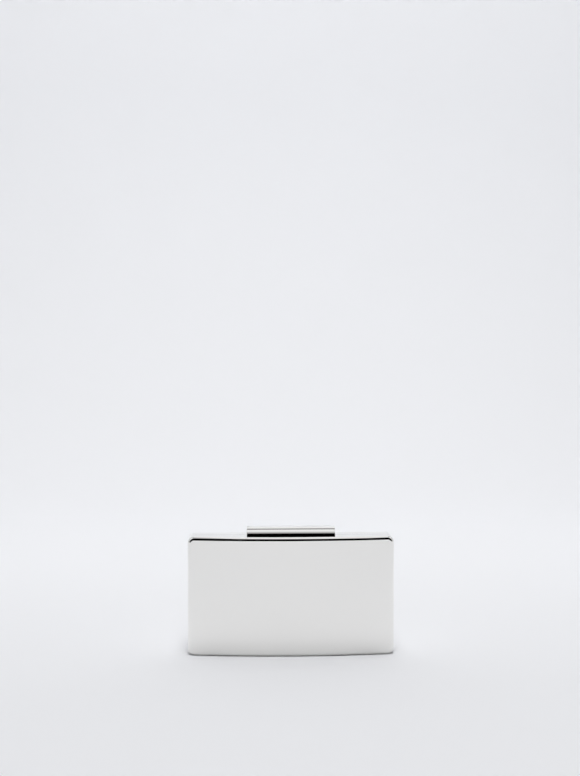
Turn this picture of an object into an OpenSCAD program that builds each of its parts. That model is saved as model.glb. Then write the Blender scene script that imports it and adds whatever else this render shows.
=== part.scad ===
// Hard-shell box clutch: two polished metal half shells hinged along the base, with a bar clasp on top.
// Frame: +X along the width, -Y towards the bowed front, +Z up; the origin is under the middle of the base.

/* [Body] */
// Overall width of the case
body_width = 180; // [150:1:220]
// Height of the case without its clasp
body_height = 104; // [85:1:130]
// Depth of the flat-backed rear half
rear_depth = 18; // [15:0.5:26]
// Depth of the front half at its two ends
front_depth = 12; // [11:0.5:20]
// How far the front face bows out at its middle
bow_rise = 8; // [4:0.5:12]
// Sheet thickness of both shells
shell_wall = 0.8; // [0.6:0.1:1]
// Corner radius of the front outline
corner_radius = 5.5; // [5:0.25:9]
// Radius of the edges round the front and back faces
edge_radius = 3.25; // [2:0.25:3.5]
// Gap between the two halves at the mouth
mouth_gap = 0.4; // [0.3:0.05:0.6]

/* [Inner frames] */
// Thickness of the stiffening band inside each mouth
frame_thickness = 1.2; // [0.8:0.1:1.4]
// Depth of that band from the mouth
frame_depth = 9.6; // [9.4:0.1:9.8]
// How far the rear band's lip stands into the front half
lip_height = 2.2; // [1.2:0.1:2.4]
// Thickness of the lip
lip_thickness = 0.8; // [0.5:0.1:1]
// Gap between the lip and the front band
lip_clearance = 0.4; // [0.3:0.05:0.5]
// Depth of the lip's foot behind the mouth
lip_foot = 1; // [0.6:0.1:1.1]
// Height above the base where both bands end, clear of the hinge
frame_start = 12; // [10:0.5:20]

/* [Lining] */
// Thickness of the lined wall strips
lining_thickness = 1; // [0.6:0.1:1.2]
// Thickness of the padded board behind each face
panel_thickness = 1.4; // [1:0.1:2]
// Room left behind the strips for rivet heads
lining_room = 0.9; // [0.8:0.1:1.2]
// Distance of the lining's edge from the mouth
lining_setback = 3; // [2.9:0.1:4]
// Fitting gap round the lined boards
panel_gap = 0.2; // [0.1:0.05:0.4]

/* [Hinge] */
// Length of the hinge barrel
hinge_length = 166; // [130:1:166]
// Number of knuckles, the odd ones on the rear half
knuckle_count = 5; // [3:2:9]
// Outer radius of the knuckles
knuckle_radius = 2.1; // [1.8:0.05:2.2]
// Height of the barrel's underside above the table
knuckle_lift = 0.3; // [0.2:0.05:0.5]
// Gap between neighbouring knuckles
knuckle_gap = 0.3; // [0.2:0.05:0.6]
// Gap between the barrel and the shells' bottom edges
hinge_relief = 0.7; // [0.6:0.05:1]
// Radius of the hinge pin
hinge_pin_radius = 0.9; // [0.7:0.05:1.1]
// Thickness of the hinge leaves
leaf_thickness = 0.8; // [0.6:0.1:1]
// Width of each leaf beyond the shell's edge
leaf_width = 7.7; // [7:0.1:8]

/* [Rivets] */
// Radius of every rivet's shank
rivet_radius = 1; // [0.7:0.05:1.1]
// Radius of a rivet head
rivet_head_radius = 1.6; // [1.3:0.1:1.7]
// Height of a rivet head
rivet_head_height = 0.5; // [0.3:0.05:0.6]
// Running clearance of every pin and rivet in its hole
pin_clearance = 0.05; // [0.02:0.01:0.08]
// Distance between neighbouring leaf rivets
leaf_rivet_pitch = 33; // [20:1:36]
// Distance of the leaf rivets from the mouth
leaf_rivet_offset = 7.5; // [6.5:0.1:8]

/* [Clasp bar] */
// Length of the domed bar
bar_length = 77; // [68:1:110]
// Width of the bar over both of its parts
bar_width = 21.8; // [21.2:0.1:22]
// Height of the bar above the case
bar_height = 7.6; // [7.4:0.1:8.4]
// Radius of the bar's shoulders
bar_shoulder = 4; // [3:0.25:5]
// Angle between the bar's sides and the case at their foot
bar_side_angle = 85; // [80:1:89]
// Metal thickness of the bar
bar_wall = 1; // [0.8:0.05:1.1]
// Distance of the seam along the bar from the mouth
seam_offset = 6.3; // [6.1:0.1:6.6]
// Width of that seam
seam_gap = 0.55; // [0.3:0.05:0.6]
// Height of the rocking cap's lower edge above the case
cap_lift = 1.2; // [1.1:0.05:1.6]

/* [Latch] */
// Distance of the rocking axis behind the mouth
pivot_offset = 5.5; // [5.3:0.1:5.7]
// Height of the rocking axis above the case
pivot_height = 2.2; // [2.1:0.05:2.3]
// Radius of the two pivot pins
pivot_radius = 0.9; // [0.7:0.05:1]
// Radius of the ears and lugs round the pivot pins
ear_radius = 1.7; // [1.5:0.05:1.8]
// Thickness of the bracket's ears and the latch plate's lugs
ear_thickness = 1; // [0.8:0.1:1.5]
// Gap between an ear and its lug
ear_gap = 0.3; // [0.2:0.05:0.5]
// Length of the bracket over its two ears
bracket_length = 48; // [46:1:60]
// Depth of the bracket's base
bracket_depth = 6.8; // [6.4:0.1:7]
// Distance of the bracket's base from the mouth
bracket_start = 1.2; // [1.2:0.1:1.5]
// Sheet thickness of the bracket's base
bracket_sheet = 0.8; // [0.6:0.05:0.9]
// Thickness of the latch plate under the cap
latch_sheet = 0.7; // [0.5:0.05:0.8]
// Height of the latch plate's underside above the case
latch_height = 4.1; // [4:0.05:4.2]
// Distance of the latch plate's front edge from the mouth
latch_reach = 5.4; // [5.2:0.1:5.6]
// Distance of the latch plate's rear edge behind the mouth
latch_back = 3; // [2:0.1:3.4]
// Width of one hook
hook_width = 8; // [5:0.5:10]
// Distance between the two hooks
hook_spacing = 30; // [26:1:32]
// Thickness of a hook at its root
hook_depth = 1.8; // [1.5:0.1:2]
// Flat width at a hook's tip
hook_tip = 0.5; // [0.3:0.05:0.8]
// Rise of the ramp on a hook's front
hook_ramp = 1.4; // [1:0.1:1.8]
// Gap between a hook's tip and the keeper plate
hook_clearance = 0.3; // [0.3:0.05:0.4]
// Gap between a hook and the keeper's rib
rib_clearance = 0.4; // [0.3:0.05:0.5]
// Sheet thickness of the keeper plate
keeper_sheet = 0.6; // [0.5:0.05:0.7]
// Distance of the keeper plate's rear edge from the mouth
keeper_setback = 1.4; // [1:0.1:1.5]
// Distance of the keeper plate's front edge from the mouth
keeper_reach = 9.2; // [9:0.1:9.3]
// Thickness of the keeper's upright rib
rib_thickness = 0.8; // [0.6:0.05:1]
// Height of the rib's top above the case
rib_height = 2.1; // [1.9:0.05:2.15]
// Distance of the keeper's rivets from the mouth
keeper_rivet_offset = 7.4; // [7.2:0.1:7.4]
// Distance of the bracket's rivets from the mouth
bracket_rivet_offset = 3; // [2.9:0.1:3.2]
// Distance of the outer clasp rivets from the middle
clasp_rivet_spread = 17; // [15:0.5:18]
// Thickness of the leaf spring
spring_sheet = 0.3; // [0.2:0.02:0.35]
// Width of the leaf spring
spring_width = 10; // [6:0.5:14]
// Height of the spring's tip above the case
spring_tip_height = 2; // [1.8:0.05:2.05]
// Distance of the spring's tip behind the mouth
spring_reach = 8.6; // [8.2:0.1:8.7]

/* [Chain eyes] */
// Radius of the hole for a chain's hook
eye_hole_radius = 1.75; // [1.2:0.05:2]
// Outer radius of an eye
eye_radius = 3.2; // [2.8:0.1:4]
// Sheet thickness of an eye
eye_thickness = 1; // [0.8:0.05:1.1]
// Thickness of an eye's foot on the band
eye_foot = 0.6; // [0.4:0.05:0.7]
// Length of an eye's foot
eye_foot_length = 4.4; // [3:0.1:6]
// Distance of an eye's hole from the band
eye_reach = 4.8; // [4.4:0.1:6]
// Distance of the eyes' holes below the case's top
eye_drop = 16; // [12:0.5:40]
// Gap between an eye and the lining's edge
eye_gap = 0.2; // [0.15:0.05:0.4]

/* [Hidden] */

// Smoothness of small and large round surfaces
$fn = 64;
bow_fn = 256;
// How far a cut runs past the face it opens
overrun = 2;
// Gap left under soldered and seated pieces
seat_gap = 0.05;
// How far a rounded upright edge reaches through the bowed face
blend_lap = 0.04;

half_width = body_width / 2;
front_total = front_depth + bow_rise;
mouth_y = (front_total - rear_depth) / 2;
bow_radius = (half_width * half_width + bow_rise * bow_rise) / (2 * bow_rise);
bow_centre = bow_radius - front_total;
half_gap = mouth_gap / 2;
frame_inset = shell_wall + frame_thickness;
lip_inset = frame_inset + lip_clearance;
lining_inset = frame_inset + lining_room;
hinge_z = knuckle_radius + knuckle_lift;
notch_half = knuckle_radius + hinge_relief;
leaf_top = shell_wall + leaf_thickness;
knuckle_pitch = hinge_length / knuckle_count;
shoulder_y = bar_width / 2 - bar_shoulder * sin(bar_side_angle);
shoulder_z = -bar_shoulder * cos(bar_side_angle);
crown_rise = bar_height - shoulder_z;
crown_radius = (pow(shoulder_y, 2) + pow(crown_rise, 2) - pow(bar_shoulder, 2)) / (2 * (crown_rise - bar_shoulder));
crown_z = bar_height - crown_radius;
bracket_half = bracket_length / 2;
lug_start = bracket_half + ear_gap;
lug_end = lug_start + ear_thickness;
rib_back = -keeper_setback;
rib_front = rib_back - rib_thickness;
hook_back = rib_front - rib_clearance;
hook_bottom = keeper_sheet + hook_clearance;
eye_x = half_width - frame_inset - eye_reach;
eye_z = body_height - eye_drop;
eye_front = lining_setback - eye_gap - eye_thickness;

metal = "silver";
inner_metal = "gainsboro";
cloth = "dimgray";

// Outline of the case seen from the front, drawn in by inset
module outline(inset) {
    r = corner_radius - inset;
    w = half_width - inset;
    translate([-w, inset + r]) square([2 * w, body_height - 2 * (inset + r)]);
    translate([-w + r, inset]) square([2 * (w - r), body_height - 2 * inset]);
    for (x = [-w + r, w - r], z = [inset + r, body_height - inset - r])
        translate([x, z]) circle(r);
}

// Prism of a front-view drawing between two depths
module across(from_y, to_y) {
    translate([0, to_y, 0])
        rotate([90, 0, 0])
            linear_extrude(to_y - from_y) children();
}

// Prism of a side-view drawing (Y, Z), centred on the width
module along(length) {
    rotate([90, 0, 90])
        translate([0, 0, -length / 2])
            linear_extrude(length) children();
}

// Everything behind the bowed face, with its top and bottom edges rounded
module bow_body(inset, round) {
    r = bow_radius - inset;
    translate([0, bow_centre, 0])
        rotate_extrude($fn = bow_fn)
            if (round > 0) {
                translate([0, inset]) square([r - round, body_height - 2 * inset]);
                translate([0, inset + round]) square([r, body_height - 2 * (inset + round)]);
                for (z = [inset + round, body_height - inset - round])
                    translate([r - round, z]) circle(round);
            } else
                translate([0, inset]) square([r, body_height - 2 * inset]);
}

// Plan of the front half with its upright edges rounded
module front_plan(inset, round) {
    w = half_width - inset;
    r = bow_radius - inset;
    corner_x = w - round;
    corner_y = bow_centre - sqrt(pow(r - round, 2) - pow(corner_x, 2)) - blend_lap;
    tangent_x = corner_x * r / (r - round);
    translate([-tangent_x, -front_total - overrun]) square([2 * tangent_x, front_total + 2 * overrun]);
    for (side = [-1, 1]) {
        translate([side * corner_x, corner_y]) circle(round);
        translate([side < 0 ? -w : corner_x, corner_y]) square([round, overrun - corner_y]);
    }
}

// The front half as a full block, drawn in by inset and ending at to_y
module front_block(inset, to_y) {
    round = max(edge_radius - inset, 0);
    intersection() {
        across(-front_total - overrun, to_y) outline(inset);
        bow_body(inset, round);
        if (round > 0) translate([0, 0, -overrun])
            linear_extrude(body_height + 2 * overrun) front_plan(inset, round);
    }
}

// Side view of the rear half with its back edges rounded
module rear_profile(inset, round, from_y, height) {
    back = rear_depth - inset;
    translate([from_y, inset]) square([back - round - from_y, height - 2 * inset]);
    translate([from_y, inset + round]) square([back - from_y, height - 2 * (inset + round)]);
    for (z = [inset + round, height - inset - round])
        translate([back - round, z]) circle(round);
}

// The rear half as a full block, drawn in by inset and starting at from_y
module rear_block(inset, from_y) {
    round = edge_radius - inset;
    intersection() {
        across(from_y, rear_depth + overrun) outline(inset);
        along(body_width + 2 * overrun) rear_profile(inset, round, from_y - overrun, body_height);
        translate([0, 0, -overrun])
            linear_extrude(body_height + 2 * overrun)
                rotate(90)
                    translate([0, -half_width])
                        rear_profile(inset, round, from_y - overrun, body_width);
    }
}

// Room for the hinge barrel along the bottom of the mouth
module hinge_notch() {
    translate([-half_width, -notch_half, -overrun])
        cube([body_width, 2 * notch_half, hinge_z + half_gap + overrun]);
}

// Places of the leaf rivets, the clasp's rivets and the keeper's rivets
module leaf_places(y) {
    for (i = [-2 : 2]) translate([i * leaf_rivet_pitch, y, 0]) children();
}

module clasp_places(y, steps) {
    for (i = steps) translate([i * clasp_rivet_spread, y, body_height]) children();
}

module leaf_holes(y) {
    leaf_places(y) translate([0, 0, -overrun])
        cylinder(h = leaf_top + 2 * overrun, r = rivet_radius + pin_clearance);
}

module clasp_holes(y) {
    clasp_places(y, [-1, 0, 1]) translate([0, 0, -frame_inset - overrun])
        cylinder(h = frame_inset + keeper_sheet + 2 * overrun, r = rivet_radius + pin_clearance);
}

module front_shell() {
    color(metal) translate([0, mouth_y, 0]) difference() {
        front_block(0, -half_gap);
        front_block(shell_wall, overrun);
        hinge_notch();
        leaf_holes(-leaf_rivet_offset);
        clasp_holes(-keeper_rivet_offset);
    }
}

module rear_shell() {
    color(metal) translate([0, mouth_y, 0]) difference() {
        rear_block(0, half_gap);
        rear_block(shell_wall, -overrun);
        hinge_notch();
        leaf_holes(leaf_rivet_offset);
        clasp_holes(bracket_rivet_offset);
    }
}

// A band inside the shells, open at its bottom
module band(outer, inner, from_y, to_y) {
    difference() {
        across(from_y, to_y) outline(outer);
        across(from_y - overrun, to_y + overrun) outline(inner);
        translate([-half_width, from_y - overrun, 0])
            cube([body_width, to_y - from_y + 2 * overrun, frame_start]);
    }
}

module front_frame() {
    color(inner_metal) translate([0, mouth_y, 0]) difference() {
        band(shell_wall + seat_gap, frame_inset, -half_gap - frame_depth, -half_gap);
        clasp_holes(-keeper_rivet_offset);
    }
}

module rear_frame() {
    color(inner_metal) translate([0, mouth_y, 0]) difference() {
        union() {
            band(shell_wall + seat_gap, frame_inset, half_gap, half_gap + frame_depth);
            band(lip_inset, lip_inset + lip_thickness, -lip_height, half_gap + lip_foot);
            band(shell_wall + seat_gap, lip_inset + lip_thickness, half_gap, half_gap + lip_foot);
        }
        clasp_holes(bracket_rivet_offset);
    }
}

module front_lining_strip() {
    color(cloth) translate([0, mouth_y, 0]) intersection() {
        difference() {
            across(-front_total, -lining_setback) outline(lining_inset);
            across(-front_total - overrun, overrun) outline(lining_inset + lining_thickness);
        }
        bow_body(shell_wall + panel_gap, 0);
    }
}

module front_lining_panel() {
    color(cloth) translate([0, mouth_y, 0]) intersection() {
        across(-front_total, -lining_setback)
            outline(lining_inset + lining_thickness + panel_gap);
        difference() {
            bow_body(shell_wall + panel_gap, 0);
            translate([0, 0, -overrun]) linear_extrude(body_height + 2 * overrun)
                translate([0, bow_centre])
                    circle(bow_radius - shell_wall - panel_gap - panel_thickness, $fn = bow_fn);
        }
    }
}

module rear_lining_strip() {
    color(cloth) translate([0, mouth_y, 0]) difference() {
        across(lining_setback, rear_depth - shell_wall - panel_gap) outline(lining_inset);
        across(0, rear_depth) outline(lining_inset + lining_thickness);
    }
}

module rear_lining_panel() {
    back = rear_depth - shell_wall - panel_gap;
    color(cloth) translate([0, mouth_y, 0])
        across(back - panel_thickness, back)
            outline(lining_inset + lining_thickness + panel_gap);
}

// One side's knuckles; first is the index of its first knuckle
module knuckles(first) {
    for (i = [first : 2 : knuckle_count - 1])
        translate([-hinge_length / 2 + i * knuckle_pitch + knuckle_gap / 2, 0, hinge_z])
            rotate([0, 90, 0]) cylinder(h = knuckle_pitch - knuckle_gap, r = knuckle_radius);
}

// The leaf of one side, reaching to its own knuckles; side is -1 for the front
module leaf(side, first) {
    difference() {
        union() {
            translate([-hinge_length / 2, side < 0 ? -notch_half - leaf_width : notch_half,
                shell_wall + seat_gap])
                cube([hinge_length, leaf_width, leaf_thickness - seat_gap]);
            for (i = [first : 2 : knuckle_count - 1])
                translate([-hinge_length / 2 + i * knuckle_pitch + knuckle_gap / 2,
                    side < 0 ? -notch_half : 0, shell_wall + seat_gap])
                    cube([knuckle_pitch - knuckle_gap, notch_half, leaf_thickness - seat_gap]);
            knuckles(first);
        }
        translate([-hinge_length / 2 - overrun, 0, hinge_z]) rotate([0, 90, 0])
            cylinder(h = hinge_length + 2 * overrun, r = hinge_pin_radius + pin_clearance);
        leaf_holes(side * leaf_rivet_offset);
    }
}

module front_hinge_leaf() {
    color(inner_metal) translate([0, mouth_y, 0]) leaf(-1, 1);
}

module rear_hinge_leaf() {
    color(inner_metal) translate([0, mouth_y, 0]) leaf(1, 0);
}

module hinge_pin() {
    color(metal) translate([-hinge_length / 2, mouth_y, hinge_z])
        rotate([0, 90, 0]) cylinder(h = hinge_length, r = hinge_pin_radius);
}

// A rivet from z = 0 up to its head at the given grip
module rivet(grip) {
    cylinder(h = grip + rivet_head_height, r = rivet_radius);
    translate([0, 0, grip]) cylinder(h = rivet_head_height, r = rivet_head_radius);
}

module front_leaf_rivets() {
    color(inner_metal) translate([0, mouth_y, 0]) leaf_places(-leaf_rivet_offset) rivet(leaf_top);
}

module rear_leaf_rivets() {
    color(inner_metal) translate([0, mouth_y, 0]) leaf_places(leaf_rivet_offset) rivet(leaf_top);
}

// A clasp rivet with a head above the stack and one under the band
module clasp_rivet(stack) {
    translate([0, 0, -frame_inset - rivet_head_height])
        rivet(frame_inset + rivet_head_height + stack);
    translate([0, 0, -frame_inset - rivet_head_height])
        cylinder(h = rivet_head_height, r = rivet_head_radius);
}

// The bar's dome in side view, drawn in by inset: a wide crown that runs into a tighter shoulder at each side
module dome(inset) {
    r = crown_radius - inset;
    join = r * shoulder_y / (crown_radius - bar_shoulder);
    intersection() {
        translate([0, crown_z]) circle(r);
        translate([-join, crown_z]) square([2 * join, r]);
    }
    for (side = [-1, 1])
        translate([side * shoulder_y, shoulder_z]) circle(bar_shoulder - inset);
}

// Hollow dome between two distances from the mouth, above bottom
module bar_piece(from_y, to_y, bottom, open_from, open_to) {
    difference() {
        along(bar_length) intersection() {
            dome(0);
            translate([from_y, bottom]) square([to_y - from_y, bar_height]);
        }
        along(bar_length - 2 * bar_wall) intersection() {
            dome(bar_wall);
            translate([open_from, -overrun]) square([open_to - open_from, bar_height + overrun]);
        }
    }
}

module front_bar() {
    seam = -seam_offset - seam_gap / 2;
    color(metal) translate([0, mouth_y, body_height])
        bar_piece(-bar_width, seam, 0, -bar_width, seam + overrun);
}

module keeper_plate() {
    depth = keeper_reach - keeper_setback;
    color(inner_metal) translate([0, mouth_y, 0]) difference() {
        translate([-bracket_half, -keeper_reach, body_height]) union() {
            cube([bracket_length, depth, keeper_sheet]);
            translate([0, depth - rib_thickness, 0]) cube([bracket_length, rib_thickness, rib_height]);
        }
        clasp_holes(-keeper_rivet_offset);
    }
}

module keeper_rivets() {
    color(inner_metal) translate([0, mouth_y, 0])
        clasp_places(-keeper_rivet_offset, [-1, 0, 1]) clasp_rivet(keeper_sheet);
}

module clasp_cap() {
    seam = -seam_offset + seam_gap / 2;
    color(metal) translate([0, mouth_y, body_height])
        bar_piece(seam, bar_width, cap_lift, seam - overrun, bar_width);
}

// Side view of a lug that hangs the latch plate on its pivot
module lug() {
    difference() {
        intersection() {
            dome(bar_wall + seat_gap);
            union() {
                translate([-latch_reach, latch_height])
                    square([latch_reach + pivot_offset + ear_radius, bar_height]);
                translate([pivot_offset - ear_radius, pivot_height])
                    square([2 * ear_radius, bar_height]);
                translate([pivot_offset, pivot_height]) circle(ear_radius);
            }
        }
        translate([pivot_offset, pivot_height]) circle(pivot_radius + pin_clearance);
    }
}

// Side view of a hook, ramped on its front
module hook() {
    polygon([
        [hook_back, latch_height + latch_sheet / 2],
        [hook_back, hook_bottom],
        [hook_back - hook_tip, hook_bottom],
        [hook_back - hook_depth, hook_bottom + hook_ramp],
        [hook_back - hook_depth, latch_height + latch_sheet / 2]]);
}

module latch_plate() {
    color(inner_metal) translate([0, mouth_y, body_height]) {
        translate([-lug_end, -latch_reach, latch_height])
            cube([2 * lug_end, latch_reach + latch_back, latch_sheet]);
        for (side = [-1, 1]) {
            translate([side * (lug_start + ear_thickness / 2), 0, 0]) along(ear_thickness) lug();
            translate([side * hook_spacing / 2, 0, 0]) along(hook_width) hook();
        }
    }
}

// Side view of one of the bracket's ears
module ear() {
    difference() {
        union() {
            translate([pivot_offset - ear_radius, 0]) square([2 * ear_radius, pivot_height]);
            translate([pivot_offset, pivot_height]) circle(ear_radius);
        }
        translate([pivot_offset, pivot_height]) circle(pivot_radius + pin_clearance);
    }
}

module clasp_bracket() {
    color(inner_metal) translate([0, mouth_y, 0]) difference() {
        translate([0, 0, body_height]) {
            translate([-bracket_half, bracket_start, 0])
                cube([bracket_length, bracket_depth, bracket_sheet]);
            for (side = [-1, 1])
                translate([side * (bracket_half - ear_thickness / 2), 0, 0]) along(ear_thickness) ear();
        }
        clasp_holes(bracket_rivet_offset);
    }
}

module bracket_rivets() {
    color(inner_metal) translate([0, mouth_y, 0])
        clasp_places(bracket_rivet_offset, [-1, 1]) clasp_rivet(bracket_sheet);
}

// A pin through each ear and lug, headed on the inside
module pivot_pins() {
    color(metal) translate([0, mouth_y + pivot_offset, body_height + pivot_height])
        for (side = [0, 1]) mirror([side, 0, 0]) {
            translate([bracket_half - ear_thickness - rivet_head_height, 0, 0]) rotate([0, 90, 0])
                cylinder(h = 2 * ear_thickness + ear_gap + 2 * rivet_head_height, r = pivot_radius);
            translate([bracket_half - ear_thickness - rivet_head_height - seat_gap, 0, 0]) rotate([0, 90, 0])
                cylinder(h = rivet_head_height, r = pivot_radius + rivet_head_height);
        }
}

// Flat foot on the bracket, then a blade that rises to the cap
module clasp_spring() {
    foot_front = bracket_rivet_offset - rivet_head_radius;
    foot_back = bracket_rivet_offset + rivet_head_radius;
    foot_top = bracket_sheet + spring_sheet;
    color(metal) translate([0, mouth_y, 0]) difference() {
        translate([0, 0, body_height]) along(spring_width) polygon([
            [foot_front, bracket_sheet],
            [foot_back, bracket_sheet],
            [spring_reach, spring_tip_height - spring_sheet],
            [spring_reach, spring_tip_height],
            [foot_back - spring_sheet / 2, foot_top],
            [foot_front, foot_top]]);
        clasp_holes(bracket_rivet_offset);
    }
}

module spring_rivet() {
    color(inner_metal) translate([0, mouth_y, 0])
        clasp_places(bracket_rivet_offset, [0]) clasp_rivet(bracket_sheet + spring_sheet);
}

// A flat eye on a foot that is brazed to the rear band; side is 1 on the right
module chain_eye(side) {
    band_x = half_width - frame_inset - seat_gap;
    translate([0, mouth_y, eye_z]) mirror([side < 0 ? 1 : 0, 0, 0]) difference() {
        union() {
            translate([0, eye_front + eye_thickness, 0]) rotate([90, 0, 0])
                linear_extrude(eye_thickness) {
                    translate([eye_x, 0]) circle(eye_radius);
                    translate([eye_x, -eye_radius]) square([band_x - eye_x, 2 * eye_radius]);
                }
            translate([band_x - eye_foot, eye_front, -eye_radius])
                cube([eye_foot, eye_foot_length, 2 * eye_radius]);
        }
        translate([eye_x, eye_front + eye_thickness + overrun, 0]) rotate([90, 0, 0])
            cylinder(h = eye_thickness + 2 * overrun, r = eye_hole_radius);
    }
}

module chain_eye_left() {
    color(metal) chain_eye(-1);
}

module chain_eye_right() {
    color(metal) chain_eye(1);
}

front_shell();
rear_shell();
front_frame();
rear_frame();
front_lining_strip();
front_lining_panel();
rear_lining_strip();
rear_lining_panel();
front_hinge_leaf();
rear_hinge_leaf();
hinge_pin();
front_leaf_rivets();
rear_leaf_rivets();
front_bar();
keeper_plate();
keeper_rivets();
clasp_cap();
latch_plate();
clasp_bracket();
bracket_rivets();
pivot_pins();
clasp_spring();
spring_rivet();
chain_eye_left();
chain_eye_right();
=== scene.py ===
# Box clutch in polished nickel with a domed bar clasp, on a pale studio sweep. Metres throughout.
import math

import bmesh
import bpy
from mathutils import Matrix, Vector


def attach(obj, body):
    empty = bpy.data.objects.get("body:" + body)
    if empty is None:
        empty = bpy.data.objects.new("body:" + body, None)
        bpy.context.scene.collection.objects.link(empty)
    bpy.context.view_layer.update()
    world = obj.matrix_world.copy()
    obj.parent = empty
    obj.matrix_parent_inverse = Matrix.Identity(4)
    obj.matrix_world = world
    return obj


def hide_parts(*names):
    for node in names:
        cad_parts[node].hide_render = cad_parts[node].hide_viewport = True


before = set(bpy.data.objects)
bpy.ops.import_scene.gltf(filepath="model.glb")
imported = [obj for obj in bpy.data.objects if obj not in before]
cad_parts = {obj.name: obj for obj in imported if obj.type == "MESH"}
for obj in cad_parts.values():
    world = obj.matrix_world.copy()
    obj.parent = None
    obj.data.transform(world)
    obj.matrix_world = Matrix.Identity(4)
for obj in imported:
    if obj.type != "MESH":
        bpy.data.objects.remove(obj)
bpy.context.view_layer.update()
scene = bpy.context.scene
mm = 0.001
touching = 1e-6  # points nearer than this are at one place
apart = 1e-5  # and points further than this are at two
sharpFrom = math.radians(35)  # an edge that turns more than this shades as a sharp one
trimFrom = math.radians(50)  # and metal that turns more than this has its edge rounded
faceWeight = 60  # above 50, the large faces hold the shading of their edges flat

cameraPlace = {
    "location": (-0.0472, -1.3772, 0.2993),
    "yaw": 1.9385,  # degrees that it turns to the right of straight back
    "pitch": 2.763,  # degrees that it looks down
    "lens": 73.304,
    "sensorWidth": 36,  # millimetres, as the lens
    "clip": (0.05, 30),
}


def makeCamera(place):
    data = bpy.data.cameras.new("camera")
    data.lens = place["lens"]
    data.sensor_width = place["sensorWidth"]
    data.clip_start, data.clip_end = place["clip"]
    camera = bpy.data.objects.new("camera", data)
    scene.collection.objects.link(camera)
    camera.location = place["location"]
    camera.rotation_euler = (math.radians(90 - place["pitch"]), 0, -math.radians(place["yaw"]))
    scene.camera = camera


makeCamera(cameraPlace)
scene.view_settings.view_transform = "Standard"
print("camera placed")


# sRGB hex to the linear colour that nodes want
def linear(hexCode):
    channels = [int(hexCode[i:i + 2], 16) / 255 for i in (0, 2, 4)]
    return [c / 12.92 if c <= 0.04045 else ((c + 0.055) / 1.055) ** 2.4 for c in channels] + [1.0]


# one node with its settings, and its inputs as values or as another node's output; a Mix node of colours
# takes the two at its inputs 6 and 7 and gives its output 2
def addNode(tree, kind, inputs=None, **settings):
    node = tree.nodes.new(kind)
    for name, value in settings.items():
        setattr(node, name, value)
    setInputs(tree, node, inputs or {})
    return node


def setInputs(tree, node, inputs):
    for name, value in inputs.items():
        if isinstance(value, bpy.types.NodeSocket):
            tree.links.new(value, node.inputs[name])
        else:
            node.inputs[name].default_value = value


def newMaterial(name):
    material = bpy.data.materials.new(name)
    material.use_nodes = True
    tree = material.node_tree
    return material, tree, tree.nodes["Principled BSDF"]


mirrorNickel = {
    "tint": "F8F7F4",
    "ripple": 26 * mm,  # length of the pressed sheet's slow waves
    "rippleHeight": 0.003 * mm,
    "rippleDetail": 1.0,
    "haze": 12 * mm,
    "hazeDetail": 5.0,
    "hazeTwist": 0.6,
    "hazeSpan": (0.4, 0.75),  # noise at which it sets in and is full
    "roughness": (0.02, 0.05),  # of clean metal and where a cloth has hazed it
}


# Nickel plate on brass sheet, buffed on a wheel: sharp reflections that swim a little, and a faint haze
# where it was wiped
def makeMirrorNickel(look):
    material, tree, shader = newMaterial("buffed nickel plate")
    place = addNode(tree, "ShaderNodeTexCoord").outputs["Object"]
    wave = addNode(tree, "ShaderNodeTexNoise", {
        "Vector": place, "Scale": 1 / look["ripple"], "Detail": look["rippleDetail"]})
    haze = addNode(tree, "ShaderNodeTexNoise", {
        "Vector": place, "Scale": 1 / look["haze"],
        "Detail": look["hazeDetail"], "Distortion": look["hazeTwist"]})
    gloss = addNode(tree, "ShaderNodeMapRange", {
        "Value": haze.outputs["Fac"], "From Min": look["hazeSpan"][0], "From Max": look["hazeSpan"][1],
        "To Min": look["roughness"][0], "To Max": look["roughness"][1]})
    bump = addNode(tree, "ShaderNodeBump", {"Height": wave.outputs["Fac"], "Distance": look["rippleHeight"]})
    setInputs(tree, shader, {"Base Color": linear(look["tint"]), "Metallic": 1.0,
                             "Roughness": gloss.outputs["Result"], "Normal": bump.outputs["Normal"]})
    return material


# Nickel plate over brushed brass strip: soft stretched highlights along its length
satinNickel = {
    "name": "satin nickel plate",
    "tints": ("A8A6A0", "BDBBB5"),
    "line": 0.5 * mm,  # the real brush lines are near 0.1 mm, too fine to show
    "lineLength": 14 * mm,
    "lineHeight": 0.01 * mm,
    "lineDetail": 3.0,
    "roughness": (0.26, 0.38),
}

# Bright drawn steel wire and hardened strip: colder and darker than the plate, with fine lines from the die
drawnSteel = {
    "name": "bright drawn steel",
    "tint": "9FA1A4",
    "line": 0.4 * mm,  # the real die lines are near 0.05 mm, too fine to show
    "lineLength": 30 * mm,
    "lineHeight": 0.004 * mm,
    "lineDetail": 2.0,
    "roughness": (0.16, 0.3),
}
lineSpan = (0.3, 0.7)  # noise at which lined metal is smoothest and roughest


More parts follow.
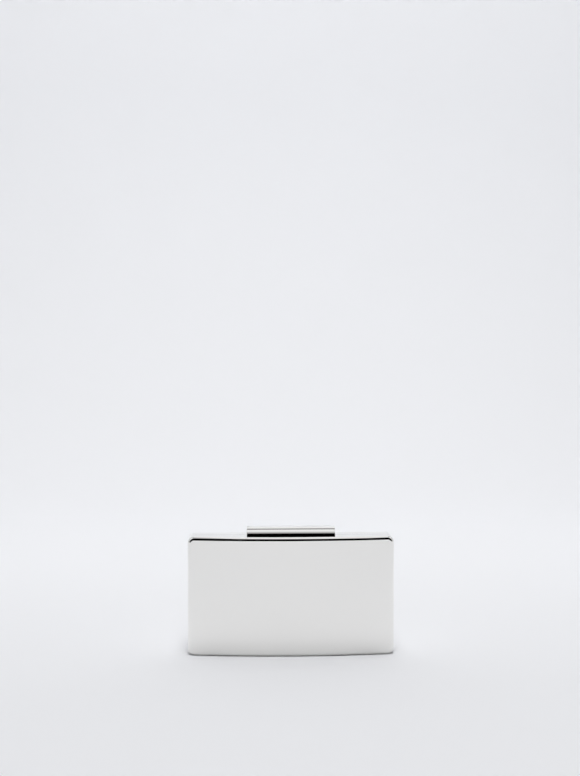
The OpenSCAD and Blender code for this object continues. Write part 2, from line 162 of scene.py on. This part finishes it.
# metal with fine lines along its length, from a brush or a die
def makeLinedMetal(look):
    material, tree, shader = newMaterial(look["name"])
    place = addNode(tree, "ShaderNodeTexCoord").outputs["Object"]
    stretch = addNode(tree, "ShaderNodeMapping", {
        "Vector": place, "Scale": (1 / look["lineLength"], 1 / look["line"], 1 / look["line"])})
    lines = addNode(tree, "ShaderNodeTexNoise", {
        "Vector": stretch.outputs["Vector"], "Scale": 1.0, "Detail": look["lineDetail"]})
    if "tints" in look:
        tone = addNode(tree, "ShaderNodeMix", {
            "Factor": lines.outputs["Fac"], 6: linear(look["tints"][0]), 7: linear(look["tints"][1])},
            data_type="RGBA").outputs[2]
    else:
        tone = linear(look["tint"])
    gloss = addNode(tree, "ShaderNodeMapRange", {
        "Value": lines.outputs["Fac"], "From Min": lineSpan[0], "From Max": lineSpan[1],
        "To Min": look["roughness"][0], "To Max": look["roughness"][1]})
    bump = addNode(tree, "ShaderNodeBump", {"Height": lines.outputs["Fac"], "Distance": look["lineHeight"]})
    setInputs(tree, shader, {"Base Color": tone, "Metallic": 1.0,
                             "Roughness": gloss.outputs["Result"], "Normal": bump.outputs["Normal"]})
    return material


suedeLining = {
    "tints": ("19181B", "2C2B30"),
    "tintSpan": (0.12, 0.4),  # pile times nap at the darker and the lighter tint
    "pile": 0.45 * mm,  # real pile is near 0.1 mm, too fine to show
    "pileHeight": 0.08 * mm,
    "pileDetail": 4.0,
    "pileRoughness": 0.7,
    "nap": 16 * mm,  # patches where the pile was brushed one way
    "napDetail": 2.0,
    "napTwist": 0.8,
    "roughness": 0.92,
    "sheen": 0.55,
    "sheenRoughness": 0.4,
    "sheenTint": "8C8A92",
}


# Charcoal microfibre suede glued over card: no shine, a soft light edge, and patches of nap that are darker
# and lighter
def makeSuedeLining(look):
    material, tree, shader = newMaterial("charcoal microfibre suede")
    place = addNode(tree, "ShaderNodeTexCoord").outputs["Object"]
    pile = addNode(tree, "ShaderNodeTexNoise", {
        "Vector": place, "Scale": 1 / look["pile"],
        "Detail": look["pileDetail"], "Roughness": look["pileRoughness"]})
    nap = addNode(tree, "ShaderNodeTexNoise", {
        "Vector": place, "Scale": 1 / look["nap"],
        "Detail": look["napDetail"], "Distortion": look["napTwist"]})
    both = addNode(tree, "ShaderNodeMath", {0: pile.outputs["Fac"], 1: nap.outputs["Fac"]},
                   operation="MULTIPLY")
    depth = addNode(tree, "ShaderNodeMapRange", {
        "Value": both.outputs["Value"], "From Min": look["tintSpan"][0], "From Max": look["tintSpan"][1]})
    tone = addNode(tree, "ShaderNodeMix", {
        "Factor": depth.outputs["Result"], 6: linear(look["tints"][0]), 7: linear(look["tints"][1])},
        data_type="RGBA").outputs[2]
    bump = addNode(tree, "ShaderNodeBump", {"Height": pile.outputs["Fac"], "Distance": look["pileHeight"]})
    setInputs(tree, shader, {
        "Base Color": tone, "Roughness": look["roughness"], "Normal": bump.outputs["Normal"],
        "Sheen Weight": look["sheen"], "Sheen Roughness": look["sheenRoughness"],
        "Sheen Tint": linear(look["sheenTint"])})
    return material


mirrorMetal = makeMirrorNickel(mirrorNickel)
satinMetal = makeLinedMetal(satinNickel)
steelMetal = makeLinedMetal(drawnSteel)
suede = makeSuedeLining(suedeLining)
print("materials made")


# turns a finished bmesh into a piece with its material
def finishPiece(bm, name, material):
    mesh = bpy.data.meshes.new(name)
    bm.to_mesh(mesh)
    bm.free()
    mesh.shade_smooth()
    mesh.set_sharp_from_angle(angle=sharpFrom)
    piece = bpy.data.objects.new(name, mesh)
    scene.collection.objects.link(piece)
    piece.data.materials.append(material)
    return piece


def addModifier(piece, kind, **settings):
    modifier = piece.modifiers.new(kind.lower(), kind)
    for name, value in settings.items():
        setattr(modifier, name, value)


# puts what the modifiers give into the mesh itself
def applyModifiers(piece):
    mesh = bpy.data.meshes.new_from_object(piece.evaluated_get(bpy.context.evaluated_depsgraph_get()))
    piece.modifiers.clear()
    piece.data = mesh


# cuts a tool's shape out of a piece, and throws the tool away
def cutOut(piece, tool):
    addModifier(piece, "BOOLEAN", operation="DIFFERENCE", object=tool, solver="EXACT")
    applyModifiers(piece)
    bpy.data.objects.remove(tool)


# rounds the metal's sharp edges a little
def trimEdges(piece, width, steps):
    addModifier(piece, "BEVEL", width=width, segments=steps, limit_method="ANGLE", angle_limit=trimFrom)
    addModifier(piece, "WEIGHTED_NORMAL", keep_sharp=True, weight=faceWeight)


def vertsOf(geom):
    return [g for g in geom if isinstance(g, bmesh.types.BMVert)]


def cutAt(bm, place, normal, drop=False):
    everything = bm.verts[:] + bm.edges[:] + bm.faces[:]
    bmesh.ops.bisect_plane(bm, geom=everything, dist=touching, plane_co=place, plane_no=normal,
                           clear_outer=drop)


# rounds edges, or the corners of a face, off to a radius
def roundOff(bm, geom, radius, steps, affect="EDGES", **more):
    bmesh.ops.bevel(bm, geom=geom, offset=radius, offset_type="OFFSET", affect=affect, segments=steps,
                    profile=0.5, material=-1, **more)


# a level or upright square of size 1, to be scaled
def unitFace(bm, upright=False):
    bmesh.ops.create_grid(bm, x_segments=1, y_segments=1, size=0.5)
    if upright:
        quarterTurn = Matrix.Rotation(math.radians(90), 3, "X")
        bmesh.ops.rotate(bm, verts=bm.verts[:], cent=(0, 0, 0), matrix=quarterTurn)


case = {
    "width": 180 * mm,
    "height": 104 * mm,
    "mouth": 1 * mm,  # y of the plane between the halves
    "rearDepth": 18 * mm,
    "frontDepth": 12 * mm,  # at the two ends
    "bow": 8 * mm,  # how much deeper the front is at its middle
    "cornerRadius": 5.5 * mm,
    "edgeRadius": 3.25 * mm,
    "wall": 0.8 * mm,
    "trim": 0.12 * mm,  # rounding of the sheet's cut edges
    "trimSteps": 2,
    "mouthGap": 0.4 * mm,
    "notchHalf": 2.8 * mm,  # room for the hinge barrel, each side of the mouth
    "notchTop": 2.6 * mm,
    "columns": 72,  # strips across the bowed face
    "cornerSteps": 14,
    "edgeSteps": 12,
    "rivets": 5,
    "rivetHole": 1.05 * mm,
    "rivetHoleSteps": 32,
    "rivetPitch": 33 * mm,
    "rivetOffset": 7.5 * mm,
}
bowRadius = (case["width"] ** 2 / 4 + case["bow"] ** 2) / (2 * case["bow"])


# y of the bowed face at x, or of a surface that lies deeper inside by inset
def bowAt(x, inset=0.0):
    centre = case["mouth"] + bowRadius - case["frontDepth"] - case["bow"]
    return centre - math.sqrt((bowRadius - inset) ** 2 - x * x)


# an upright rectangle with round corners at y, drawn in from the case's outline by inset
def outlineFace(bm, inset, y):
    unitFace(bm, upright=True)
    bmesh.ops.scale(bm, verts=bm.verts[:], vec=(case["width"] - 2 * inset, 1, case["height"] - 2 * inset))
    bmesh.ops.translate(bm, verts=bm.verts[:], vec=(0, 0, case["height"] / 2))
    roundOff(bm, bm.verts[:], case["cornerRadius"] - inset, case["cornerSteps"], affect="VERTICES")
    bmesh.ops.translate(bm, verts=bm.verts[:], vec=(0, y, 0))


def facesAt(bm, y):
    return [f for f in bm.faces if all(abs(v.co.y - y) < touching for v in f.verts)]


# upright cuts: even ones through everything, and in the face alone one at each point of its round corners
def cutColumns(bm, faceY, inset):
    straight = case["width"] / 2 - case["cornerRadius"]
    for i in range(case["columns"] + 1):
        cutAt(bm, (straight * (2 * i / case["columns"] - 1), 0, 0), (1, 0, 0))
    corners = {round(v.co.x, 7) for f in facesAt(bm, faceY) for v in f.verts
               if straight + apart < abs(v.co.x) < case["width"] / 2 - inset - apart}
    for x in sorted(corners):
        face = facesAt(bm, faceY)
        near = {g for f in face for g in [*f.verts, *f.edges]}
        bmesh.ops.bisect_plane(bm, geom=face + list(near), dist=touching,
                               plane_co=(x, 0, 0), plane_no=(1, 0, 0))


# walls from the flat face's rim to the mouth, with the rim rounded over
def raiseWalls(bm, mouthY, roundness=0.0):
    rim = [e for e in bm.edges if e.is_boundary]
    walls = bmesh.ops.extrude_edge_only(bm, edges=rim)["geom"]
    for vert in vertsOf(walls):
        vert.co.y = mouthY
    bmesh.ops.recalc_face_normals(bm, faces=bm.faces[:])
    if roundness:
        roundOff(bm, rim, roundness, case["edgeSteps"], clamp_overlap=False, loop_slide=True)


# bends everything, or everything but the mouth's edge, to the bow of the front
def bendToBow(bm, inset=0.0, mouthY=None):
    for vert in bm.verts:
        if mouthY is None or abs(vert.co.y - mouthY) > touching:
            vert.co.y += bowAt(vert.co.x, inset) - bowAt(0, inset)


# opens the bottom at the mouth for the hinge barrel
def cutNotch(bm, side):
    cutAt(bm, (0, case["mouth"] + side * case["notchHalf"], 0), (0, 1, 0))
    cutAt(bm, (0, 0, case["notchTop"]), (0, 0, 1))
    notch = [f for f in bm.faces if f.calc_center_median().z < case["notchTop"]
             and abs(f.calc_center_median().y - case["mouth"]) < case["notchHalf"]]
    bmesh.ops.delete(bm, geom=notch, context="FACES")


# round holes in the bottom for the leaf rivets
def drillBottom(piece, side):
    bm = bmesh.new()
    for i in range(case["rivets"]):
        x = (i - (case["rivets"] - 1) / 2) * case["rivetPitch"]
        at = Matrix.Translation((x, case["mouth"] + side * case["rivetOffset"], 0))
        bmesh.ops.create_cone(bm, cap_ends=True, segments=case["rivetHoleSteps"], radius1=case["rivetHole"],
                              radius2=case["rivetHole"], depth=6 * case["wall"], matrix=at)
    cutOut(piece, finishPiece(bm, "drill", mirrorMetal))


# one half of the case: its face flat or bowed, walls to the mouth, wall thickness inwards; side is -1 for
# the front half
def makeShell(name, side, body, node):
    faceY = bowAt(0) if side < 0 else case["mouth"] + case["rearDepth"]
    mouthY = case["mouth"] + side * case["mouthGap"] / 2
    bm = bmesh.new()
    outlineFace(bm, 0, faceY)
    raiseWalls(bm, mouthY, case["edgeRadius"])
    if side < 0:
        cutColumns(bm, faceY, case["edgeRadius"])
        bendToBow(bm, mouthY=mouthY)
    cutNotch(bm, side)
    piece = finishPiece(bm, name, mirrorMetal)
    addModifier(piece, "SOLIDIFY", thickness=case["wall"], offset=-1, use_even_offset=True)
    drillBottom(piece, side)
    trimEdges(piece, case["trim"], case["trimSteps"])
    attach(piece, body)
    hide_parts(node)


makeShell("frontShell", -1, "front_half", "front_shell")
makeShell("rearShell", 1, "rear_half", "rear_shell")
print("shells made")


bar = {
    "length": 77 * mm,
    "width": 21.8 * mm,
    "height": 7.6 * mm,
    "shoulder": 4 * mm,  # radius of the section's two sides
    "sideAngle": 85,  # degrees between its sides and the case at their foot
    "wall": 1 * mm,
    "seam": -6.3 * mm,  # from the mouth
    "seamGap": 0.55 * mm,
    "capLift": 1.2 * mm,  # gap under the rocking cap
    "crownSteps": 96,
    "shoulderSteps": 48,
    "lipRound": 0.6 * mm,  # of the two lips along the seam
    "lipSteps": 8,
    "lipMargin": 0.1 * mm,  # the crown's steps within this of the rounding go too
    "endRound": 0.2 * mm,
    "endSteps": 4,
    "trim": 0.15 * mm,  # rounding of the other edges
    "trimSteps": 3,
    "footSpare": 1 * mm,  # what is cut off below the foot once the ends are round
    "hollowSpare": 5 * mm,  # how far the hollow runs out below and past the seam
}


# the bar's section, drawn in by inset: a wide crown that runs into a tighter shoulder at each side
def domeSection(bm, inset, x):
    lean = math.radians(bar["sideAngle"])
    shoulderY = bar["width"] / 2 - bar["shoulder"] * math.sin(lean)
    shoulderZ = -bar["shoulder"] * math.cos(lean)
    rise = bar["height"] - shoulderZ
    crown = (shoulderY ** 2 + rise ** 2 - bar["shoulder"] ** 2) / (2 * (rise - bar["shoulder"]))
    join = math.asin(shoulderY / (crown - bar["shoulder"]))  # from upright to where the arcs meet
    arcs = (((-shoulderY, shoulderZ), math.pi - join, bar["shoulderSteps"]),
            ((0, bar["height"] - crown), 2 * join, bar["crownSteps"]),
            ((shoulderY, shoulderZ), math.pi - join, bar["shoulderSteps"]))
    start = (x, case["mouth"] - shoulderY, case["height"] + shoulderZ - bar["shoulder"] + inset)
    tip = bmesh.ops.create_vert(bm, co=start)["vert"]
    for (y, z), angle, steps in arcs:
        centre = (x, case["mouth"] + y, case["height"] + z)
        turned = bmesh.ops.spin(bm, geom=tip, cent=centre, axis=(1, 0, 0), angle=-angle, steps=steps)
        tip = vertsOf(turned["geom_last"])
    bmesh.ops.contextual_create(bm, geom=bm.verts[:] + bm.edges[:])


# rounds the section's upper corner at the seam, once the crown's small steps beside it are gone
def roundLip(bm, seamY):
    top = [v for v in bm.verts if v.co.z > case["height"] + bar["height"] / 2]
    near = [v for v in top if abs(v.co.y - seamY) < bar["lipRound"] + bar["lipMargin"]]
    corner = [v for v in near if abs(v.co.y - seamY) < touching]
    bmesh.ops.dissolve_verts(bm, verts=[v for v in near if v not in corner])
    roundOff(bm, corner, bar["lipRound"], bar["lipSteps"], affect="VERTICES")


# a length of the dome between its lower edge and the seam, drawn in by inset
def domeSolid(bm, inset, bottom, seamY, side, roundedLip=False):
    length = bar["length"] - 2 * inset
    domeSection(bm, inset, -length / 2)
    cutAt(bm, (0, 0, bottom), (0, 0, -1), drop=True)
    cutAt(bm, (0, seamY, 0), (0, -side, 0), drop=True)
    if roundedLip:
        roundLip(bm, seamY)
    end = bmesh.ops.extrude_face_region(bm, geom=bm.faces[:], use_keep_orig=True)["geom"]
    bmesh.ops.translate(bm, verts=vertsOf(end), vec=(length, 0, 0))
    bmesh.ops.recalc_face_normals(bm, faces=bm.faces[:])


# one strip of the domed bar, hollow from below and from the seam, its ends rounded before its foot is cut;
# side is -1 for the front strip
def makeBarPiece(name, side, lift, body, node):
    bottom = case["height"] + lift
    seamY = case["mouth"] + bar["seam"] + side * bar["seamGap"] / 2
    bm = bmesh.new()
    domeSolid(bm, 0, bottom - bar["footSpare"], seamY, side, roundedLip=True)
    ends = [e for e in bm.edges if abs(sum(v.co.x for v in e.verts)) > bar["length"] - touching]
    roundOff(bm, ends, bar["endRound"], bar["endSteps"], clamp_overlap=False)
    cutAt(bm, (0, 0, bottom), (0, 0, -1), drop=True)
    bmesh.ops.holes_fill(bm, edges=[e for e in bm.edges if e.is_boundary])
    bmesh.ops.recalc_face_normals(bm, faces=bm.faces[:])
    piece = finishPiece(bm, name, mirrorMetal)
    bm = bmesh.new()
    domeSolid(bm, bar["wall"], bottom - bar["hollowSpare"], seamY - side * bar["hollowSpare"], side)
    cutOut(piece, finishPiece(bm, "hollow", mirrorMetal))
    piece.data.set_sharp_from_angle(angle=sharpFrom)
    trimEdges(piece, bar["trim"], bar["trimSteps"])
    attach(piece, body)
    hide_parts(node)


makeBarPiece("barFrontStrip", -1, 0, "front_half", "front_bar")
makeBarPiece("barCap", 1, bar["capLift"], "cap", "clasp_cap")
print("clasp bar made")


lining = {
    "inset": 2.9 * mm,  # outer side of the wall strips, from the case's outline
    "thickness": 1 * mm,
    "setback": 3 * mm,  # edge of the cloth from the mouth
    "panelInset": 4.1 * mm,
    "panelDepth": 1.4 * mm,
    "crown": 0.5 * mm,  # how much the padding stands up at the panel's middle
    "crownPower": 6,  # keeps it level in the middle and lets it fall off near the edge
    "foldRound": 0.45 * mm,
    "foldSteps": 4,
    "foldFrom": math.radians(60),  # cloth that turns more than this is folded over an edge
    "clear": 1 * mm,  # from the case's outer face to the card
    "rows": 24,
}


# y of the card's back behind the front's or the rear's face
def cardBack(side):
    return bowAt(0, lining["clear"]) if side < 0 else case["mouth"] + case["rearDepth"] - lining["clear"]


def roundFolds(piece):
    addModifier(piece, "BEVEL", width=lining["foldRound"], segments=lining["foldSteps"],
                limit_method="ANGLE", angle_limit=lining["foldFrom"])


# a strip of suede over card round the inside of one half
def makeLiningWall(name, side, body, node):
    edgeY = case["mouth"] + side * lining["setback"]
    backY = cardBack(side)
    bm = bmesh.new()
    outlineFace(bm, lining["inset"], backY)
    raiseWalls(bm, edgeY)
    back = [f for f in bm.faces if abs(f.calc_center_median().y - backY) < touching]
    bmesh.ops.delete(bm, geom=back, context="FACES")
    if side < 0:
        cutColumns(bm, backY, lining["inset"])
        bendToBow(bm, lining["clear"], edgeY)
    piece = finishPiece(bm, name, suede)
    addModifier(piece, "SOLIDIFY", thickness=lining["thickness"], offset=-1, use_even_offset=True)
    roundFolds(piece)
    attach(piece, body)
    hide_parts(node)


# a padded board behind one face, its middle a little crowned and its edge turned under
def makeLiningPanel(name, side, body, node):
    inset = lining["panelInset"]
    backY = cardBack(side)
    bm = bmesh.new()
    outlineFace(bm, inset, backY)
    cutColumns(bm, backY, inset)
    for i in range(1, lining["rows"]):
        cutAt(bm, (0, 0, inset + (case["height"] - 2 * inset) * i / lining["rows"]), (0, 0, 1))
    padded = bmesh.ops.extrude_face_region(bm, geom=bm.faces[:], use_keep_orig=True)["geom"]
    halfWidth, halfHeight = case["width"] / 2 - inset, case["height"] / 2 - inset
    power = lining["crownPower"]
    for vert in vertsOf(padded):
        x, z = vert.co.x / halfWidth, (vert.co.z - case["height"] / 2) / halfHeight
        rise = math.sqrt(max(0, 1 - abs(x) ** power) * max(0, 1 - abs(z) ** power))
        vert.co.y -= side * (lining["panelDepth"] - lining["crown"] * (1 - rise))
    if side < 0:
        bendToBow(bm, lining["clear"])
    bmesh.ops.recalc_face_normals(bm, faces=bm.faces[:])
    piece = finishPiece(bm, name, suede)
    roundFolds(piece)
    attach(piece, body)
    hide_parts(node)


makeLiningWall("frontLiningWall", -1, "front_half", "front_lining_strip")
makeLiningWall("rearLiningWall", 1, "rear_half", "rear_lining_strip")
makeLiningPanel("frontLiningPanel", -1, "front_half", "front_lining_panel")
makeLiningPanel("rearLiningPanel", 1, "rear_half", "rear_lining_panel")
print("lining made")


# the CAD's own pieces keep their shape and get their metal
cadFinishes = {
    "satin": ["front_frame", "rear_frame", "front_hinge_leaf", "rear_hinge_leaf", "front_leaf_rivets",
              "rear_leaf_rivets", "keeper_plate", "keeper_rivets", "latch_plate", "clasp_bracket",
              "bracket_rivets", "spring_rivet", "chain_eye_left", "chain_eye_right"],
    "steel": ["hinge_pin", "pivot_pins", "clasp_spring"],
}
for finish, metal in (("satin", satinMetal), ("steel", steelMetal)):
    for name in cadFinishes[finish]:
        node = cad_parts[name]
        node.data.materials.clear()
        node.data.materials.append(metal)
print("inner metalwork finished")


studio = {
    "paper": "F4F5F8",
    "paperRoughness": 0.85,
    "paperGloss": 0.1,
    "tooth": 6 * mm,
    "toothHeight": 0.01 * mm,
    "toothDetail": 2.0,
    "air": 0.83,  # how bright the pale air beyond the stage is
    "fade": (0.75, 2.2),  # distances over which the floor runs into it
    "halfWidth": 4.5,
    "front": -4.5,
    "sweepStart": 0.9,
    "sweepRadius": 0.7,
    "sweepSteps": 24,
    "top": 1.47,  # as high as the metal shows it
    "thickness": 0.06,
    "faceWeight": 100,  # keeps the floor's shading flat up to the well
    "walls": 0.6,  # how bright the walls are that the metal mirrors
    "darkEnd": (-0.45, -0.15),  # the y of a direction at which they begin and are at full brightness
    "shade": 0.25,  # how much painted shadow darkens the floor at the case's foot beyond what the lights here leave it
    "shadeReach": 0.2,
    "shadeFall": 4.6,  # how fast it fades, as a power
    "shadeInset": 20 * mm,  # from the case's ends, where it begins to fade
    "offFloor": 0.5 * mm,  # height of the painted shadow and of the closed well above the floor
    "wellMargin": 14 * mm,
    "wellBack": 1 * mm,  # from the mouth
}


# Matt studio paper: an even cool white with a trace of tooth, which far off to the front and sides runs
# into the pale air
def makeStudioPaper(look):
    material, tree, shader = newMaterial("studio paper")
    place = addNode(tree, "ShaderNodeTexCoord").outputs["Object"]
    tooth = addNode(tree, "ShaderNodeTexNoise", {
        "Vector": place, "Scale": 1 / look["tooth"], "Detail": look["toothDetail"]})
    bump = addNode(tree, "ShaderNodeBump", {"Height": tooth.outputs["Fac"], "Distance": look["toothHeight"]})
    along = addNode(tree, "ShaderNodeSeparateXYZ", {"Vector": place})
    side = addNode(tree, "ShaderNodeMath", {0: along.outputs["X"]}, operation="ABSOLUTE")
    front = addNode(tree, "ShaderNodeMath", {0: along.outputs["Y"], 1: -1.0}, operation="MULTIPLY")
    far = addNode(tree, "ShaderNodeMath", {0: side.outputs["Value"], 1: front.outputs["Value"]},
                  operation="MAXIMUM")
    fade = addNode(tree, "ShaderNodeMapRange", {
        "Value": far.outputs["Value"], "From Min": look["fade"][0], "From Max": look["fade"][1]},
        interpolation_type="SMOOTHSTEP").outputs["Result"]
    glow = addNode(tree, "ShaderNodeMath", {0: fade, 1: look["air"]}, operation="MULTIPLY")
    tone = addNode(tree, "ShaderNodeMix", {"Factor": fade, 6: linear(look["paper"]), 7: linear("000000")},
                   data_type="RGBA").outputs[2]
    setInputs(tree, shader, {
        "Base Color": tone, "Roughness": look["paperRoughness"], "Specular IOR Level": look["paperGloss"],
        "Emission Color": linear(look["paper"]), "Emission Strength": glow.outputs["Value"],
        "Normal": bump.outputs["Normal"]})
    return material


# floor and backdrop in one bent sheet with a thickness
def makeSweep():
    bm = bmesh.new()
    unitFace(bm)
    depth = studio["sweepStart"] + studio["sweepRadius"] - studio["front"]
    bmesh.ops.scale(bm, verts=bm.verts[:], vec=(2 * studio["halfWidth"], depth, 1))
    bmesh.ops.translate(bm, verts=bm.verts[:], vec=(0, studio["front"] + depth / 2, 0))
    back = [e for e in bm.edges if all(v.co.y > studio["sweepStart"] for v in e.verts)]
    raised = bmesh.ops.extrude_edge_only(bm, edges=back)["geom"]
    bmesh.ops.translate(bm, verts=vertsOf(raised), vec=(0, 0, studio["top"]))
    roundOff(bm, back, studio["sweepRadius"], studio["sweepSteps"], clamp_overlap=False)
    bmesh.ops.recalc_face_normals(bm, faces=bm.faces[:])
    if bm.faces[0].normal.z < -0.5 or bm.faces[0].normal.y > 0.5:  # the floor faces up, the backdrop forwards
        bmesh.ops.reverse_faces(bm, faces=bm.faces[:])
    sweep = finishPiece(bm, "sweep", makeStudioPaper(studio))
    addModifier(sweep, "SOLIDIFY", thickness=studio["thickness"], offset=-1)
    return sweep


# painted shadow: the deep soft shadow at the foot of the case that its polished sides mirror, as a thin dark
# gauze on the floor which nothing but the metal sees
def makeFootShade():
    reach = studio["shadeReach"]
    foot = (case["width"] / 2 - studio["shadeInset"], -bowAt(0), 1)  # half its size; 1 leaves height out
    material, tree, shader = newMaterial("painted foot shadow")
    place = addNode(tree, "ShaderNodeTexCoord").outputs["Object"]
    quarter = addNode(tree, "ShaderNodeVectorMath", {0: place}, operation="ABSOLUTE")
    beyond = addNode(tree, "ShaderNodeVectorMath", {0: quarter.outputs["Vector"], 1: foot},
                     operation="SUBTRACT")
    outside = addNode(tree, "ShaderNodeVectorMath", {0: beyond.outputs["Vector"], 1: (0, 0, 0)},
                      operation="MAXIMUM")
    distance = addNode(tree, "ShaderNodeVectorMath", {0: outside.outputs["Vector"]}, operation="LENGTH")
    near = addNode(tree, "ShaderNodeMapRange", {
        "Value": distance.outputs["Value"], "From Max": reach, "To Min": 1.0, "To Max": 0.0})
    fall = addNode(tree, "ShaderNodeMath", {0: near.outputs["Result"], 1: studio["shadeFall"]},
                   operation="POWER")
    dark = addNode(tree, "ShaderNodeMath", {0: fall.outputs["Value"], 1: studio["shade"]},
                   operation="MULTIPLY")
    # painted shadow: black whose opacity is the shade, darkest at the case's foot and fading outwards
    setInputs(tree, shader, {"Base Color": linear("000000"), "Roughness": 1.0, "Specular IOR Level": 0.0,
                             "Alpha": dark.outputs["Value"]})
    bm = bmesh.new()
    unitFace(bm)
    bmesh.ops.scale(bm, verts=bm.verts[:], vec=(case["width"] + 2 * reach, 2 * (foot[1] + reach), 1))
    bmesh.ops.translate(bm, verts=bm.verts[:], vec=(0, 0, studio["offFloor"]))
    shade = finishPiece(bm, "footShade", material)
    shade.visible_camera = False
    shade.visible_diffuse = False
    shade.visible_shadow = False


# the opened front half swings down past the floor's level, so the floor has a well wherever the half comes:
# the case's own room there and a margin, which moves with the half and stays just above the floor at rest
def makeFloorRoom(sweep):
    margin = studio["wellMargin"]
    low = Vector((-case["width"] / 2 - margin, bowAt(0) - margin, studio["offFloor"]))
    high = Vector((case["width"] / 2 + margin, case["mouth"] - studio["wellBack"],
                   case["height"] + bar["height"] + margin))
    bm = bmesh.new()
    bmesh.ops.create_cube(bm, size=1)
    bmesh.ops.scale(bm, verts=bm.verts[:], vec=high - low)
    bmesh.ops.translate(bm, verts=bm.verts[:], vec=(low + high) / 2)
    room = finishPiece(bm, "floorRoom", sweep.data.materials[0])
    room.hide_render = True
    room.display_type = "WIRE"
    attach(room, "front_half")
    addModifier(sweep, "BOOLEAN", operation="DIFFERENCE", object=room, solver="EXACT")
    addModifier(sweep, "WEIGHTED_NORMAL", weight=studio["faceWeight"])


# brightness is how bright a light's face looks, and mirrored says if the metal shows it
lights = {
    "key": {"place": (0, -1.5, 3.4), "aim": (0, -0.9, 0), "size": (1.0, 4.0), "brightness": 8.7,
            "mirrored": False},
    "backdrop light": {"place": (0, 0.5, 1.0), "aim": (0, 1.45, 0), "size": (2.4, 0.5), "brightness": 1.05,
                       "mirrored": False},
    "left box": {"place": (-2.3, -0.1, 2.5), "aim": (0, 0.2, 0), "size": (2.0, 2.0), "brightness": 0.3,
                 "mirrored": True},
    "right box": {"place": (2.3, -0.1, 2.5), "aim": (0, 0.2, 0), "size": (2.0, 2.0), "brightness": 0.3,
                  "mirrored": True},
    "overhead panel": {"place": (0.18, 0.6, 2.0), "aim": (0.18, 0.6, 0), "size": (1.04, 3.4),
                       "brightness": 0.32, "mirrored": True},
}


def makeLight(name, lamp):
    data = bpy.data.lights.new(name, "AREA")
    data.shape = "RECTANGLE"
    data.size, data.size_y = lamp["size"]
    data.energy = lamp["brightness"] * math.pi * lamp["size"][0] * lamp["size"][1]
    light = bpy.data.objects.new(name, data)
    scene.collection.objects.link(light)
    light.location = lamp["place"]
    towards = Vector(lamp["aim"]) - Vector(lamp["place"])
    light.rotation_euler = towards.to_track_quat("-Z", "Y").to_euler()
    light.visible_glossy = lamp["mirrored"]
    light.visible_camera = False


# pale air beyond the stage; the metal mirrors pale walls at the sides and back, and the dark end of the room
# in front
def makeWorld(look):
    world = bpy.data.worlds.new("studio air")
    world.use_nodes = True
    scene.world = world
    tree = world.node_tree
    direction = addNode(tree, "ShaderNodeTexCoord").outputs["Generated"]
    towards = addNode(tree, "ShaderNodeSeparateXYZ", {"Vector": direction})
    walls = addNode(tree, "ShaderNodeMapRange", {
        "Value": towards.outputs["Y"], "From Min": look["darkEnd"][0], "From Max": look["darkEnd"][1],
        "To Min": 0.0, "To Max": look["walls"]})
    direct = addNode(tree, "ShaderNodeLightPath").outputs["Is Camera Ray"]
    power = addNode(tree, "ShaderNodeMix", {"Factor": direct, 2: walls.outputs["Result"], 3: look["air"]},
                    data_type="FLOAT")
    setInputs(tree, tree.nodes["Background"], {"Color": linear(look["paper"]), "Strength": power.outputs[0]})
    world.cycles_visibility.diffuse = False


sweep = makeSweep()
makeFloorRoom(sweep)
makeFootShade()
for name, lamp in lights.items():
    makeLight(name, lamp)
makeWorld(studio)
print("stage and lights made")
